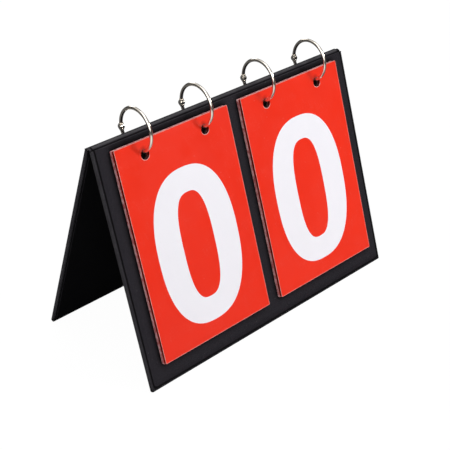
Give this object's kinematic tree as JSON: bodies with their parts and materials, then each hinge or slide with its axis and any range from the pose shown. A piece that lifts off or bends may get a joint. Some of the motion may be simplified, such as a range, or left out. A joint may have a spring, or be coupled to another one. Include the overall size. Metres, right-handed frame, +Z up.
{
  "type": "tabletop flip scoreboard",
  "caption": "Folding tabletop scoreboard: two hinged covered boards, with two decks of number cards that turn over the ridge on split rings.",
  "frame": {"origin": "middle of the footprint on the table, under the ridge", "axes": "+Z up; +X along the ridge, to the right as the cards are read; the cards face -Y"},
  "size_m": [0.22, 0.1036, 0.1664],
  "materials": {
    "greyboard": "raw grey chipboard, hidden inside the covering",
    "covering": "matt black leatherette sheet",
    "lining": "matt black paper-backed lining",
    "ring_steel": "bright nickel-plated steel wire",
    "card": "satin red printed plastic card"
  },
  "bodies": {
    "front_board": {"front_core": "greyboard", "front_skin": "covering", "front_lining": "lining", "ridge_spine": "covering", "ring_1_lower": "ring_steel", "ring_1_rivet": "ring_steel", "ring_2_lower": "ring_steel", "ring_2_rivet": "ring_steel", "ring_3_lower": "ring_steel", "ring_3_rivet": "ring_steel", "ring_4_lower": "ring_steel", "ring_4_rivet": "ring_steel"},
    "rear_board": {"rear_core": "greyboard", "rear_skin": "covering", "rear_lining": "lining"},
    "ring_1_gate": {"ring_1_upper": "ring_steel"},
    "ring_2_gate": {"ring_2_upper": "ring_steel"},
    "ring_3_gate": {"ring_3_upper": "ring_steel"},
    "ring_4_gate": {"ring_4_upper": "ring_steel"},
    "card_left_0": {"card_left_0": "card"},
    "card_left_1": {"card_left_1": "card"},
    "card_left_2": {"card_left_2": "card"},
    "card_left_3": {"card_left_3": "card"},
    "card_left_4": {"card_left_4": "card"},
    "card_left_5": {"card_left_5": "card"},
    "card_left_6": {"card_left_6": "card"},
    "card_left_7": {"card_left_7": "card"},
    "card_left_8": {"card_left_8": "card"},
    "card_left_9": {"card_left_9": "card"},
    "card_right_0": {"card_right_0": "card"},
    "card_right_1": {"card_right_1": "card"},
    "card_right_2": {"card_right_2": "card"},
    "card_right_3": {"card_right_3": "card"},
    "card_right_4": {"card_right_4": "card"},
    "card_right_5": {"card_right_5": "card"},
    "card_right_6": {"card_right_6": "card"},
    "card_right_7": {"card_right_7": "card"},
    "card_right_8": {"card_right_8": "card"},
    "card_right_9": {"card_right_9": "card"}
  },
  "joints": [
    {"name": "rear_board_fold", "type": "hinge", "parent": "front_board", "child": "rear_board", "pos_m": [0, 0, 0.14881], "axis": [1, 0, 0], "range_deg": [-36.4, 32], "deforming": ["ridge_spine"]},
    {"name": "ring_1_open", "type": "hinge", "parent": "front_board", "child": "ring_1_gate", "pos_m": [-0.0765, 0.01029, 0.14911], "axis": [1, 0, 0], "range_deg": [-90, 0]},
    {"name": "ring_2_open", "type": "hinge", "parent": "front_board", "child": "ring_2_gate", "pos_m": [-0.0275, 0.01029, 0.14911], "axis": [1, 0, 0], "range_deg": [-90, 0]},
    {"name": "ring_3_open", "type": "hinge", "parent": "front_board", "child": "ring_3_gate", "pos_m": [0.0275, 0.01029, 0.14911], "axis": [1, 0, 0], "range_deg": [-90, 0]},
    {"name": "ring_4_open", "type": "hinge", "parent": "front_board", "child": "ring_4_gate", "pos_m": [0.0765, 0.01029, 0.14911], "axis": [1, 0, 0], "range_deg": [-90, 0]},
    {"name": "card_left_9_turn", "type": "hinge", "parent": "front_board", "child": "card_left_9", "pos_m": [-0.052, -0.0033, 0.15151], "axis": [-1, 0, 0], "range_deg": [0, 240]},
    {"name": "card_left_8_turn", "type": "hinge", "parent": "card_left_9", "child": "card_left_8", "pos_m": [-0.052, -0.0033, 0.15151], "axis": [-1, 0, 0], "range_deg": [0, 240]},
    {"name": "card_left_7_turn", "type": "hinge", "parent": "card_left_8", "child": "card_left_7", "pos_m": [-0.052, -0.0033, 0.15151], "axis": [-1, 0, 0], "range_deg": [0, 240]},
    {"name": "card_left_6_turn", "type": "hinge", "parent": "card_left_7", "child": "card_left_6", "pos_m": [-0.052, -0.0033, 0.15151], "axis": [-1, 0, 0], "range_deg": [0, 240]},
    {"name": "card_left_5_turn", "type": "hinge", "parent": "card_left_6", "child": "card_left_5", "pos_m": [-0.052, -0.0033, 0.15151], "axis": [-1, 0, 0], "range_deg": [0, 240]},
    {"name": "card_left_4_turn", "type": "hinge", "parent": "card_left_5", "child": "card_left_4", "pos_m": [-0.052, -0.0033, 0.15151], "axis": [-1, 0, 0], "range_deg": [0, 240]},
    {"name": "card_left_3_turn", "type": "hinge", "parent": "card_left_4", "child": "card_left_3", "pos_m": [-0.052, -0.0033, 0.15151], "axis": [-1, 0, 0], "range_deg": [0, 240]},
    {"name": "card_left_2_turn", "type": "hinge", "parent": "card_left_3", "child": "card_left_2", "pos_m": [-0.052, -0.0033, 0.15151], "axis": [-1, 0, 0], "range_deg": [0, 240]},
    {"name": "card_left_1_turn", "type": "hinge", "parent": "card_left_2", "child": "card_left_1", "pos_m": [-0.052, -0.0033, 0.15151], "axis": [-1, 0, 0], "range_deg": [0, 240]},
    {"name": "card_left_0_turn", "type": "hinge", "parent": "card_left_1", "child": "card_left_0", "pos_m": [-0.052, -0.0033, 0.15151], "axis": [-1, 0, 0], "range_deg": [0, 240]},
    {"name": "card_right_9_turn", "type": "hinge", "parent": "front_board", "child": "card_right_9", "pos_m": [0.052, -0.0033, 0.15151], "axis": [-1, 0, 0], "range_deg": [0, 240]},
    {"name": "card_right_8_turn", "type": "hinge", "parent": "card_right_9", "child": "card_right_8", "pos_m": [0.052, -0.0033, 0.15151], "axis": [-1, 0, 0], "range_deg": [0, 240]},
    {"name": "card_right_7_turn", "type": "hinge", "parent": "card_right_8", "child": "card_right_7", "pos_m": [0.052, -0.0033, 0.15151], "axis": [-1, 0, 0], "range_deg": [0, 240]},
    {"name": "card_right_6_turn", "type": "hinge", "parent": "card_right_7", "child": "card_right_6", "pos_m": [0.052, -0.0033, 0.15151], "axis": [-1, 0, 0], "range_deg": [0, 240]},
    {"name": "card_right_5_turn", "type": "hinge", "parent": "card_right_6", "child": "card_right_5", "pos_m": [0.052, -0.0033, 0.15151], "axis": [-1, 0, 0], "range_deg": [0, 240]},
    {"name": "card_right_4_turn", "type": "hinge", "parent": "card_right_5", "child": "card_right_4", "pos_m": [0.052, -0.0033, 0.15151], "axis": [-1, 0, 0], "range_deg": [0, 240]},
    {"name": "card_right_3_turn", "type": "hinge", "parent": "card_right_4", "child": "card_right_3", "pos_m": [0.052, -0.0033, 0.15151], "axis": [-1, 0, 0], "range_deg": [0, 240]},
    {"name": "card_right_2_turn", "type": "hinge", "parent": "card_right_3", "child": "card_right_2", "pos_m": [0.052, -0.0033, 0.15151], "axis": [-1, 0, 0], "range_deg": [0, 240]},
    {"name": "card_right_1_turn", "type": "hinge", "parent": "card_right_2", "child": "card_right_1", "pos_m": [0.052, -0.0033, 0.15151], "axis": [-1, 0, 0], "range_deg": [0, 240]},
    {"name": "card_right_0_turn", "type": "hinge", "parent": "card_right_1", "child": "card_right_0", "pos_m": [0.052, -0.0033, 0.15151], "axis": [-1, 0, 0], "range_deg": [0, 240]}
  ]
}
